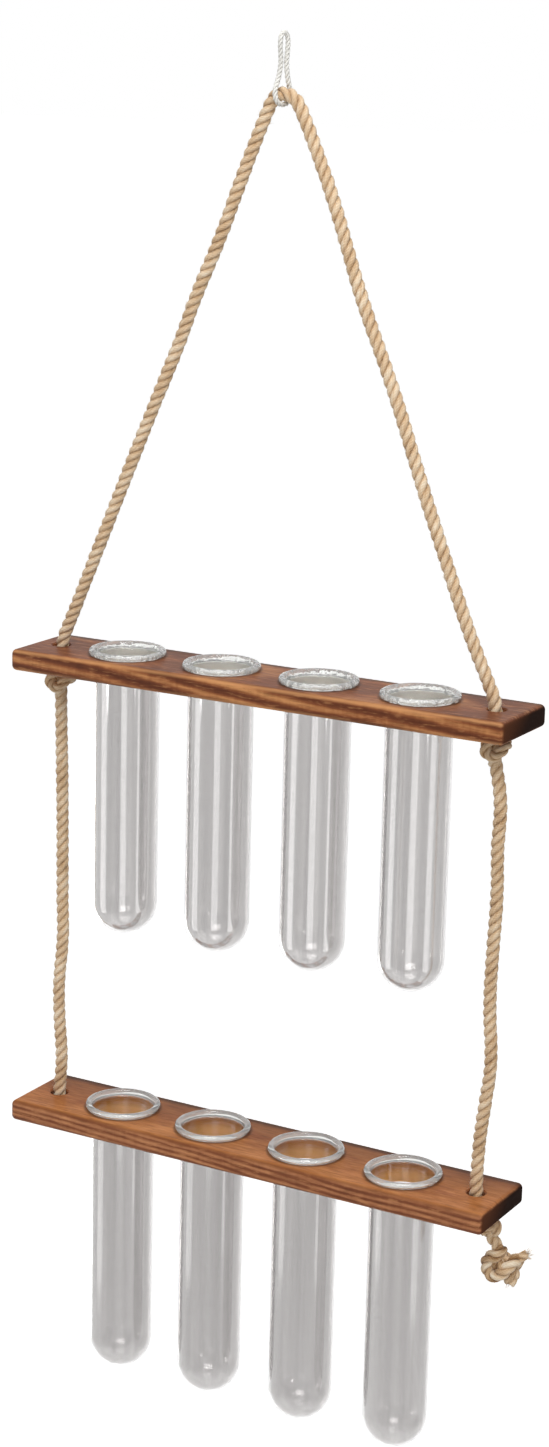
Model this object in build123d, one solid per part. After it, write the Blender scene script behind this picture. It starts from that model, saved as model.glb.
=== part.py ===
from build123d import *
import os
from math import acos, asin, atan2, cos, degrees, hypot, pi, radians, sin, tan

# A hanging two-tier propagation vase, in millimetres.
# Two wooden bars hang one below the other on one jute rope, and each carries four
# round-bottomed glass tubes. The origin is the inside of the hanging loop's top, where a hook
# bears. +X runs along the bars to the right, +Y points to the wall behind, and +Z is up.

# Glass tubes
tubes_per_bar = 4
tube_pitch = 50.0
tube_diameter = 30.0
tube_wall = 1.5
tube_length = 136.0
rim_overhang = 3.0
rim_height = 3.0
lip_radius = 1.5

# Wooden bars
bar_thickness = 10.0
bar_side_wall = 6.6
bar_edge_radius = 2.4
tube_clearance = 0.4
tube_hole_easing = 0.3
tier_drop = 221.0

# Jute rope: the holes that it passes and the triangle that it makes above the upper bar
rope_diameter = 6.0
rope_hole_spacing = 36.5
rope_hole_inset = 13.5
rope_hole_clearance = 1.25
rope_hole_easing = 0.6
apex_rise = 252.5
mouth_rise = 1.5
crown_inner_radius = 3.0

# Knots, as shares of the rope's diameter
knot_turn_share = 0.72
knot_strand_share = 0.46
knot_offset_share = 0.25
knot_core_share = 1.07
knot_tilt = 28.0

# Places where the rope bends as the tiers swing: ball ends with a small clearance
ball_clearance = 0.4
crown_clearance = 0.3
upper_knot_gap = 0.6
lower_knot_gap = 0.3
drop_start_share = 1.63

# Free ends of the rope under the lower bar, from the stopper knot's centre
tail_out = 11.0
tail_back = 6.0
tail_fall = 15.4
fray_length = 7.0
fray_diameter = 11.0
left_end_back = 5.0
left_end_fall = 10.0

# Hanging loop of thin white cord
loop_cord_diameter = 2.2
loop_eye_radius = 2.3
loop_clearance = 0.3
loop_height = 24.0

# One overrun serves all cuts, and each rope arc uses this share of its shorter run
overrun = 1.0
arc_run_share = 0.45

# Radii
tube_radius = tube_diameter / 2
bore_radius = tube_radius - tube_wall
rim_radius = tube_radius + rim_overhang
bead_radius = rim_height / 2
tube_hole_radius = tube_radius + tube_clearance
rope_radius = rope_diameter / 2
rope_hole_radius = rope_radius + rope_hole_clearance
crown_radius = rope_radius + crown_inner_radius
loop_cord_radius = loop_cord_diameter / 2
loop_rope_radius = rope_radius + loop_clearance + loop_cord_radius

# Places along the bars
tube_span = (tubes_per_bar - 1) * tube_pitch
tube_places = [index * tube_pitch - tube_span / 2 for index in range(tubes_per_bar)]
rope_hole_x = tube_span / 2 + rope_hole_spacing
bar_length = 2 * (rope_hole_x + rope_hole_inset)
bar_width = 2 * (tube_hole_radius + bar_side_wall)

# Heights, downwards from the hanging point
crown_z = -loop_height
crown_centre_z = crown_z - crown_radius
upper_top_z = crown_z - apex_rise
upper_bottom_z = upper_top_z - bar_thickness
lower_top_z = upper_top_z - tier_drop
lower_bottom_z = lower_top_z - bar_thickness

# Knot sizes and the centres of the knots
knot_turn_radius = knot_turn_share * rope_diameter
knot_strand_radius = knot_strand_share * rope_diameter
knot_offset = knot_offset_share * rope_diameter
knot_core_radius = knot_core_share * rope_diameter
knot_half_height = knot_turn_radius * sin(radians(knot_tilt)) + knot_strand_radius + knot_offset
upper_knot_z = upper_bottom_z - upper_knot_gap - knot_half_height
lower_knot_z = lower_bottom_z - lower_knot_gap - knot_half_height
drop_start_z = upper_knot_z - drop_start_share * rope_diameter

# The right leg leaves the crown where a line from the hole's mouth touches the crown's arc
mouth_z = upper_top_z + mouth_rise
mouth_distance = hypot(rope_hole_x, mouth_z - crown_centre_z)
mouth_angle = atan2(mouth_z - crown_centre_z, rope_hole_x)
leave_angle = mouth_angle + acos(crown_radius / mouth_distance)
leave_x = crown_radius * cos(leave_angle)
leave_z = crown_centre_z + crown_radius * sin(leave_angle)


def upright(x, z_low, z_high, radius):
    """A round post along Z at x, from one height to another."""
    post = Cylinder(radius, z_high - z_low, align=(Align.CENTER, Align.CENTER, Align.MIN))
    return Pos(x, 0, z_low) * post


def hole_edges(body, radius):
    """The round edges of the given radius, where a hole meets the bar's faces."""
    rings = body.edges().filter_by(GeomType.CIRCLE)
    return rings.filter_by(lambda edge: abs(edge.radius - radius) < tube_hole_easing / 2)


def bar(top_z):
    """A wooden bar with eased edges, its tube holes and its two rope holes."""
    block = Box(bar_length, bar_width, bar_thickness)
    body = fillet(block.edges(), bar_edge_radius)
    reach = bar_thickness + overrun
    for x in tube_places:
        body -= upright(x, -reach, reach, tube_hole_radius)
    for x in (-rope_hole_x, rope_hole_x):
        body -= upright(x, -reach, reach, rope_hole_radius)
    body = chamfer(hole_edges(body, tube_hole_radius), tube_hole_easing)
    body = chamfer(hole_edges(body, rope_hole_radius), rope_hole_easing)
    return Pos(0, 0, top_z - bar_thickness / 2) * body


def glass_tube(x, seat_z):
    """A round-bottomed tube whose rolled rim rests on the bar's top face."""
    bottom_z = rim_height - tube_length
    round_z = bottom_z + tube_radius
    diagonal = sin(pi / 4)
    bead_x = rim_radius - bead_radius
    lip_x = bore_radius + lip_radius
    outline = [
        ThreePointArc((0, bottom_z), (tube_radius * diagonal, round_z - tube_radius * diagonal),
                      (tube_radius, round_z)),
        Line((tube_radius, round_z), (tube_radius, 0)),
        Line((tube_radius, 0), (bead_x, 0)),
        ThreePointArc((bead_x, 0), (rim_radius, bead_radius), (bead_x, rim_height)),
        Line((bead_x, rim_height), (lip_x, rim_height)),
        ThreePointArc((lip_x, rim_height),
                      (lip_x - lip_radius * diagonal, rim_height - lip_radius + lip_radius * diagonal),
                      (bore_radius, rim_height - lip_radius)),
        Line((bore_radius, rim_height - lip_radius), (bore_radius, round_z)),
        ThreePointArc((bore_radius, round_z),
                      (bore_radius * diagonal, round_z - bore_radius * diagonal),
                      (0, bottom_z + tube_wall)),
        Line((0, bottom_z + tube_wall), (0, bottom_z)),
    ]
    wall = make_face([Plane.XZ * edge for edge in outline])
    return Pos(x, 0, seat_z) * revolve(wall, Axis.Z)


def bend_radii(points):
    """The largest tangent arc that the two runs at each corner leave room for."""
    radii = []
    for before, corner, after in zip(points, points[1:], points[2:]):
        run_in = corner - before
        run_out = after - corner
        half_turn = radians(run_in.get_angle(run_out)) / 2
        radii.append(arc_run_share * min(run_in.length, run_out.length) / tan(half_turn))
    return radii


def rope_along(path):
    """A round rope along a path, with its volume set against section times length."""
    section = Plane(origin=path @ 0, z_dir=path % 0) * Circle(rope_radius)
    tube = sweep(section, path=path)
    share = tube.volume / (pi * rope_radius ** 2 * path.length)
    print(f"rope stretch {path.length:.1f} mm long, volume {share:.4f} of section times length")
    return tube


def rope_crown():
    """The rope's bend over the hanging loop, hollowed at both ends for the legs' ball ends."""
    start = degrees(leave_angle)
    arc = Plane.XZ * CenterArc((0, crown_centre_z), crown_radius, start, 180 - 2 * start)
    print(f"crown radius {crown_radius:.1f} mm, turn {180 - 2 * start:.1f} degrees")
    bend = rope_along(arc)
    for x in (-leave_x, leave_x):
        bend -= Pos(x, 0, leave_z) * Sphere(rope_radius + crown_clearance)
    return bend


def rope_right_leg():
    """The taut rope from the crown to the right hole, where it bends and goes straight down."""
    points = [
        Vector(leave_x, 0, leave_z),
        Vector(rope_hole_x, 0, mouth_z),
        Vector(rope_hole_x, 0, upper_bottom_z),
    ]
    radii = bend_radii(points)
    print("leg bend radii " + ", ".join(f"{radius:.1f}" for radius in radii) + " mm")
    path = FilletPolyline(*points, radius=radii)
    return rope_along(path) + Pos(*points[0]) * Sphere(rope_radius)


def rope_drop(x):
    """The straight rope between the tiers, with a ball end at both of its pivots."""
    post = upright(x, lower_top_z, drop_start_z, rope_radius)
    for z in (lower_top_z, drop_start_z):
        post += Pos(x, 0, z) * Sphere(rope_radius)
    return post


def knot_turns():
    """The two skewed turns of an overhand knot about the Z axis."""
    turn = Torus(knot_turn_radius, knot_strand_radius)
    high = Pos(0, 0, knot_offset) * Rot(0, knot_tilt, 0) * turn
    low = Pos(0, 0, -knot_offset) * Rot(0, -knot_tilt, 0) * turn
    return high + low


def knot_core():
    """The rope inside a knot, with domed ends that turn freely about the knot's centre."""
    return upright(0, -knot_core_radius, knot_core_radius, rope_radius) & Sphere(knot_core_radius)


def upper_knot(x, facing):
    """A knot under the upper bar, turned about Z to face the given way."""
    return Pos(x, 0, upper_knot_z) * Rot(0, 0, facing) * (knot_turns() + knot_core())


def free_end(out, back, fall):
    """The frame of a rope end that leaves a lower knot, with Z along the rope."""
    return Plane(origin=(0, 0, 0), z_dir=(out, back, -fall)).location


def lower_knot(x, facing, end_frame):
    """A stopper knot under the lower bar, with the rope in the hole above and its free end."""
    end_length = knot_turn_radius + knot_strand_radius + crown_clearance
    end = end_frame * Cylinder(rope_radius, end_length, align=(Align.CENTER, Align.CENTER, Align.MIN))
    top = lower_top_z - rope_radius - ball_clearance - lower_knot_z
    body = Rot(0, 0, facing) * knot_turns() + upright(0, 0, top, rope_radius) + end
    return Pos(x, 0, lower_knot_z) * body


def tail_places():
    """Distances along the tail: its start, the near face of its knot and the knot's centre."""
    start = knot_turn_radius + knot_strand_radius + crown_clearance
    centre = hypot(tail_out, tail_back, tail_fall)
    return start, centre - knot_half_height, centre


def rope_tail(end_frame):
    """The short straight stretch between the right stopper knot and the tail's knot."""
    start, end, _ = tail_places()
    stretch = Cylinder(rope_radius, end - start, align=(Align.CENTER, Align.CENTER, Align.MIN))
    return Pos(rope_hole_x, 0, lower_knot_z) * end_frame * Pos(0, 0, start) * stretch


def tail_knot(end_frame):
    """The knot at the tail's end, with the frayed strands that spread beyond it."""
    _, _, centre = tail_places()
    core = upright(0, -knot_half_height, knot_half_height, rope_radius)
    fray = Cone(rope_radius, fray_diameter / 2, fray_length,
                align=(Align.CENTER, Align.CENTER, Align.MIN))
    body = knot_turns() + core + Pos(0, 0, knot_half_height) * fray
    return Pos(rope_hole_x, 0, lower_knot_z) * end_frame * Pos(0, 0, centre) * body


def hanging_loop():
    """A narrow closed loop of cord: round the rope's crown below, an eye for a hook above."""
    eye_z = loop_cord_radius - loop_eye_radius
    slant = degrees(asin((loop_rope_radius - loop_eye_radius) / (eye_z - crown_z)))
    lean_y = cos(radians(slant))
    lean_z = sin(radians(slant))
    low = (loop_rope_radius * lean_y, crown_z + loop_rope_radius * lean_z)
    high = (loop_eye_radius * lean_y, eye_z + loop_eye_radius * lean_z)
    edges = [
        Line(low, high),
        CenterArc((0, eye_z), loop_eye_radius, slant, 180 - 2 * slant),
        Line((-high[0], high[1]), (-low[0], low[1])),
        CenterArc((0, crown_z), loop_rope_radius, 180 - slant, 180 + 2 * slant),
    ]
    path = Wire([Plane.YZ * edge for edge in edges])
    section = Plane(origin=path @ 0, z_dir=path % 0) * Circle(loop_cord_radius)
    return sweep(section, path=path)


def build_nodes():
    """Every piece of the vase, by name."""
    right_end = free_end(tail_out, tail_back, tail_fall)
    left_end = free_end(0, left_end_back, left_end_fall)
    right_leg = rope_right_leg()
    nodes = {
        "hanging_loop": hanging_loop(),
        "rope_crown": rope_crown(),
        "rope_left_leg": mirror(right_leg, about=Plane.YZ),
        "rope_right_leg": right_leg,
        "upper_bar": bar(upper_top_z),
        "upper_left_knot": upper_knot(-rope_hole_x, 180),
        "upper_right_knot": upper_knot(rope_hole_x, 0),
        "rope_left_drop": rope_drop(-rope_hole_x),
        "rope_right_drop": rope_drop(rope_hole_x),
        "lower_bar": bar(lower_top_z),
        "lower_left_knot": lower_knot(-rope_hole_x, 180, left_end),
        "lower_right_knot": lower_knot(rope_hole_x, 0, right_end),
        "rope_tail": rope_tail(right_end),
        "tail_knot": tail_knot(right_end),
    }
    for index, x in enumerate(tube_places, start=1):
        nodes[f"upper_tube_{index}"] = glass_tube(x, upper_top_z)
        nodes[f"lower_tube_{index}"] = glass_tube(x, lower_top_z)
    return nodes


if __name__ == "__main__":
    os.makedirs("parts", exist_ok=True)
    for name, shape in build_nodes().items():
        export_step(shape, f"parts/{name}.step")
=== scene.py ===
import math
import random

import bpy
import numpy as np
from mathutils import Matrix, Vector


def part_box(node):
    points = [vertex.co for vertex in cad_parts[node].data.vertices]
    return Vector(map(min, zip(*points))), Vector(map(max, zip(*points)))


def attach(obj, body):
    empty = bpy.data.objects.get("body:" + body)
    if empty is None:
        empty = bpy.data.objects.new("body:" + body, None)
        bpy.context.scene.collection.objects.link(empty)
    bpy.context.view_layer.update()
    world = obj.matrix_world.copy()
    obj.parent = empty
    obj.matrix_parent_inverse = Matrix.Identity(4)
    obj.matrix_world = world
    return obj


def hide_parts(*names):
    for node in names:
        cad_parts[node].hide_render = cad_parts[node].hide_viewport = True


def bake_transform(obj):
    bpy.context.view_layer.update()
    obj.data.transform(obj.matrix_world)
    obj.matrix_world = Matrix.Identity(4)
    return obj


# Looks of a hanging two-tier propagation vase: jute rope, stained wooden bars, glass tubes.
# Everything is in metres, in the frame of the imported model.

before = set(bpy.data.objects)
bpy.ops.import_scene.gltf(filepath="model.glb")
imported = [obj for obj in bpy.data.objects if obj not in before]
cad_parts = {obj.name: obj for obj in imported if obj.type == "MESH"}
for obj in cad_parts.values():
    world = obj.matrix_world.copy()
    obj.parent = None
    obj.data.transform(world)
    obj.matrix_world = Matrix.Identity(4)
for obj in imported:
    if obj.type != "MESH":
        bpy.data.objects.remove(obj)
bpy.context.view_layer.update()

MM = 0.001
SEED = 20573

# Camera, fitted to the photograph's view
CAMERA_PLACE = (0.5892268, -1.0409028, -0.0043263)
CAMERA_YAW = 0.5129
CAMERA_PITCH = -0.2411
CAMERA_ROLL = 0.0235
CAMERA_FOCAL_PX = 2756.5
PHOTO_LONG_SIDE_PX = 1447
SENSOR_WIDTH_MM = 36.0
CLIP_START = 0.01

# Jute rope: its lay, and how each strand and its yarns vary along it
ROPE_DIAMETER = 6.0 * MM
LAY_PITCH = 13.6 * MM
STRANDS = 3
STRAND_SIDES = 14
OFFSET_SHARE = 0.485
STRAND_SHARE = 0.525
RING_STEP = 0.8 * MM
YARNS = 5
YARN_PITCH = 11.0 * MM
YARN_PHASE = 0.37
YARN_DEPTH_SHARE = 0.045
WANDER_LENGTH = 7.3 * MM
WANDER_PHASE = 2.1
WANDER_SHARE = 0.03
BLOTCH_LENGTH = 3.4 * MM
BLOTCH_PHASE = 4
PHASE_MOST = 6
TONE_MIDDLE = 0.445
# Painted light and shade of the strands: crowns lighter and grooves darker, yarn crests lighter and the
# hollows between yarns darker
CROWN_HIGHLIGHT_GROOVE_SHADE_SHARE = 0.33
YARN_HIGHLIGHT_HOLLOW_SHADE_SHARE = 0.13
# Colours over the tone value, which holds random tone as well as the painted shade of the grooves and the
# painted highlight of the crowns
JUTE_TONES = [(0.0, (0.08, 0.038, 0.013)), (0.28, (0.265, 0.138, 0.054)), (0.5, (0.51, 0.330, 0.178)),
              (0.75, (0.70, 0.515, 0.330)), (1.0, (0.84, 0.73, 0.57))]
COTTON_TONES = [(0.0, (0.25, 0.24, 0.21)), (0.5, (0.56, 0.54, 0.50)), (1.0, (0.80, 0.79, 0.75))]

# Loose hairs of the rope: ranges that are drawn from, as shares unless named otherwise
HAIR_LEAN = 1.3
HAIR_ROOT_SHARE = 0.9
HAIR_ALONG_SHARES = (0.5, 1.6)
HAIR_OUT_SHARES = (0.25, 0.9)
HAIR_SAG_SHARES = (-0.3, 0.6)
HAIR_DRIFT_SHARES = ((-0.4, 0.4), (-0.4, 0.4), (-0.5, 0.2))
LONG_HAIR_SHARE = 0.06
LONG_REACH_SHARE = 1.1
USUAL_REACH_SHARE = 0.85
HAIR_LENGTH_SHARES = (0.35, 1.0)
HAIR_RADII_MM = (0.022, 0.045)
HAIR_TONES = (0.62, 0.98)
# The three corners of a hair's section, in radians, and its bend
HAIR_CORNERS = (0.0, 2.0944, 4.1888)
HAIR_BEND_SHARE = 0.55
HAIR_TIP_SAG_SHARE = 0.45
HAIR_BEND_RADIUS_SHARE = 0.8
HAIR_UV = (0.3, 0.3)

# Lines of cords: steps of the NURBS line per control point, and what counts as the same point
ROUTE_RESOLUTION = 48
SAME_POINT = 1e-7
UV_PER_METRE = 100

# Wooden bars: growth rings about a pith below and behind, waved by the warp
PITH_BELOW = 0.070
PITH_BACK = 0.006
RING_STRETCH = 6.0
WARP_Y = 10.0 * MM
WARP_Z = 11.0 * MM
# Noise layers of the wood: scale along X, Y and Z, detail, roughness
WOOD_LAYERS = {
    "warp": ((7.0, 26.0, 26.0), 2.0, 0.55),
    "fibres": ((24.0, 520.0, 620.0), 4.0, 0.6),
    "pores": ((90.0, 2600.0, 2600.0), 2.0, 0.55),
    "cloud": ((13.0, 48.0, 60.0), 3.0, 0.55),
    "figure": ((420.0, 30.0, 70.0), 2.0, 0.55),
    "flecks": ((110.0, 760.0, 760.0), 3.0, 0.6),
}
# Dark flecks of the wood; the same dark tone also makes the dark back edge and the painted shadow round
# the rims
DARK_FLECK_AND_SHADOW = (0.060, 0.021, 0.010, 1.0)
PALE_FLECK = (0.72, 0.34, 0.14, 1.0)
DARK_PORE = (0.05, 0.02, 0.01, 1.0)
REAR_TONE = (0.15, 0.050, 0.024, 1.0)
# End grain in its own dark tones, the rear one deepened by painted shade
END_FRONT_TONE = (0.085, 0.030, 0.014, 1.0)
END_SHADE_TONE = (0.014, 0.006, 0.004, 1.0)
# Spots: their layer, the values at which they start and are full, their share and tone
WOOD_SPOTS = [
    ("flecks", 0.50, 0.68, 0.34, DARK_FLECK_AND_SHADOW),
    ("flecks", 0.48, 0.32, 0.26, PALE_FLECK),
    ("pores", 0.66, 0.74, 0.4, DARK_PORE),
]
TOP_CLOUD = (0.38, 0.62)
EDGE_WEAR_AND_HIGHLIGHT_CLOUD = (0.25, 0.6)
FACING = (0.5, 0.95)
END_FACING = (0.55, 0.95)
# Depths below a face of the bar at which a tone starts and is full
EDGE_WEAR_AND_HIGHLIGHT = (2.2 * MM, 0.4 * MM)
DARK_BACK = (7.0 * MM, 3.0 * MM)
HOLE_RIM_SHADOW = (7.0 * MM, 1.0 * MM)
END_SKIN = (4.0 * MM, 1.0 * MM)
REAR_FADE = (-8.0 * MM, 16.0 * MM)
END_FADE_BEFORE = 2.0 * MM
END_FADE_AFTER = 6.0 * MM
DARK_BACK_SHARE = 0.85
HOLE_SHARE = 0.85
# Tube holes, and the painted shadow line on the bars round the foot of each tube's rim
TUBE_PITCH = 50.0 * MM
HOLE_RADIUS = 15.4 * MM
HOLE_SLACK = 0.25 * MM
RIM_SHADOW_OUTSIDE = 19.3 * MM
RIM_SHADOW_INSIDE = 17.9 * MM
RIM_SHADOW_SHARE = 0.6
WOOD_RELIEF = 0.6 * MM

# Glass: the value of the part attribute on the outside, the mouth and the rim; the bore has none
PART_OUTSIDE = 0.25
PART_MOUTH = 0.5
PART_RIM = 1.0
OUTSIDE_TINT = (0.95, 0.940, 0.935, 1.0)
MOUTH_TINT = (0.96, 0.968, 0.952, 1.0)
RIM_MILK_SHARE = 0.25
DRAW_STRETCH = (230.0, 230.0, 2.5)
DOME_FADE = 3.0 * MM
DENT_SCALE = 300.0
DENT_DEPTH = 2.0 * MM


def make_camera():
    """The camera at the photograph's viewing angle."""
    forward = Vector((-math.sin(CAMERA_YAW) * math.cos(CAMERA_PITCH),
                      math.cos(CAMERA_YAW) * math.cos(CAMERA_PITCH),
                      math.sin(CAMERA_PITCH)))
    level = Vector((math.cos(CAMERA_YAW), math.sin(CAMERA_YAW), 0.0))
    upward = level.cross(forward)
    right = math.cos(CAMERA_ROLL) * level + math.sin(CAMERA_ROLL) * upward
    up = math.cos(CAMERA_ROLL) * upward - math.sin(CAMERA_ROLL) * level
    data = bpy.data.cameras.new("camera")
    data.sensor_width = SENSOR_WIDTH_MM
    data.lens = CAMERA_FOCAL_PX * SENSOR_WIDTH_MM / PHOTO_LONG_SIDE_PX
    data.clip_start = CLIP_START
    camera = bpy.data.objects.new("camera", data)
    turn = Matrix((right, up, -forward)).transposed().to_4x4()
    camera.matrix_world = Matrix.Translation(CAMERA_PLACE) @ turn
    bpy.context.scene.collection.objects.link(camera)
    bpy.context.scene.camera = camera


class Graph:
    """A material's node tree around its Principled shader."""

    def __init__(self, name):
        self.material = bpy.data.materials.new(name)
        self.material.use_nodes = True
        self.tree = self.material.node_tree
        self.shader = self.tree.nodes["Principled BSDF"]

    def feed(self, socket, value):
        if isinstance(value, bpy.types.NodeSocket):
            self.tree.links.new(value, socket)
        else:
            socket.default_value = value

    def node(self, kind, settings=None, **inputs):
        made = self.tree.nodes.new("ShaderNode" + kind)
        for key, value in (settings or {}).items():
            setattr(made, key, value)
        for key, value in inputs.items():
            self.feed(made.inputs[key.replace("_", " ")], value)
        return made

    def math(self, operation, first, second=0.0):
        made = self.node("Math", {"operation": operation})
        self.feed(made.inputs[0], first)
        self.feed(made.inputs[1], second)
        return made.outputs[0]

    def times(self, first, second):
        return self.math("MULTIPLY", first, second)

    def total(self, *rows):
        """The sum of values, each times its share."""
        value, share = rows[0]
        added = self.times(value, share)
        for value, share in rows[1:]:
            added = self.math("ADD", added, self.times(value, share))
        return added

    def smooth(self, value, low, high):
        made = self.node("MapRange", {"interpolation_type": "SMOOTHSTEP"}, Value=value)
        made.inputs["From Min"].default_value = low
        made.inputs["From Max"].default_value = high
        return made.outputs["Result"]

    def near(self, value, face, depths):
        """Nothing below the first depth under a face, one above the second."""
        return self.smooth(value, face - depths[0], face - depths[1])

    def noise(self, vector, scale, detail=3.0, roughness=0.55):
        made = self.node("TexNoise", None, Vector=vector, Scale=scale, Detail=detail,
                         Roughness=roughness)
        return made.outputs["Fac"]

    def stretched(self, vector, scale, place=(0.0, 0.0, 0.0)):
        made = self.node("Mapping", None, Vector=vector)
        made.inputs["Scale"].default_value = scale
        made.inputs["Location"].default_value = place
        return made.outputs["Vector"]

    def moved(self, vector, **shifts):
        """A vector with shifts added along the named axes."""
        made = self.node("VectorMath", {"operation": "ADD"})
        self.feed(made.inputs[0], vector)
        self.feed(made.inputs[1], self.node("CombineXYZ", None, **shifts).outputs[0])
        return made.outputs[0]

    def split(self, vector):
        """A vector's parts along X, Y and Z."""
        made = self.node("SeparateXYZ", None, Vector=vector)
        return [made.outputs[axis] for axis in "XYZ"]

    def mix(self, factor, first, second):
        made = self.node("Mix", {"data_type": "RGBA", "blend_type": "MIX"})
        self.feed(made.inputs[0], factor)
        self.feed(made.inputs[6], first)
        self.feed(made.inputs[7], second)
        return made.outputs[2]

    def laid(self, under, over, *shares):
        """A colour laid over another by the product of the shares."""
        factor = shares[0]
        for share in shares[1:]:
            factor = self.times(factor, share)
        return self.mix(factor, under, over)

    def ramp(self, factor, stops):
        made = self.node("ValToRGB", None, Fac=factor)
        elements = made.color_ramp.elements
        while len(elements) < len(stops):
            elements.new(0.5)
        for element, (place, colour) in zip(elements, stops):
            element.position = place
            element.color = (*colour, 1.0)
        return made.outputs["Color"]

    def bump(self, height, strength, distance):
        made = self.node("Bump", None, Height=height, Strength=strength, Distance=distance)
        self.feed(self.shader.inputs["Normal"], made.outputs["Normal"])

    def set(self, **inputs):
        for key, value in inputs.items():
            self.feed(self.shader.inputs[key.replace("_", " ")], value)


def growth_rings(graph, place, along, warp, middle_z, ring_scale, drift):
    """Flat-sawn rings about the pith, waved by the warp and drifting along the bar."""
    warped = graph.moved(place, Y=graph.times(warp, WARP_Y), Z=graph.times(warp, WARP_Z))
    leaning = graph.moved(warped, Z=graph.times(along, drift))
    pith = graph.stretched(leaning, (RING_STRETCH, ring_scale, ring_scale),
                           (0.0, -PITH_BACK * ring_scale, (PITH_BELOW - middle_z) * ring_scale))
    wave = {"wave_type": "RINGS", "rings_direction": "X", "wave_profile": "SIN"}
    rings = graph.node("TexWave", wave, Vector=pith, Scale=1.0, Distortion=2.2, Detail=3.0,
                       Detail_Scale=1.0)
    return rings.outputs["Fac"]


def from_tube_axes(graph, x, from_front):
    """The distance from the nearest tube's axis, and one where the bar has tubes."""
    wrapped = graph.math("PINGPONG", x, TUBE_PITCH / 2)
    from_axis = graph.math("SUBTRACT", TUBE_PITCH / 2, wrapped)
    squares = graph.math("ADD", graph.times(from_axis, from_axis), graph.times(from_front, from_front))
    within = graph.math("LESS_THAN", graph.math("ABSOLUTE", x), 2 * TUBE_PITCH)
    return graph.math("SQRT", squares), within


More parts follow.
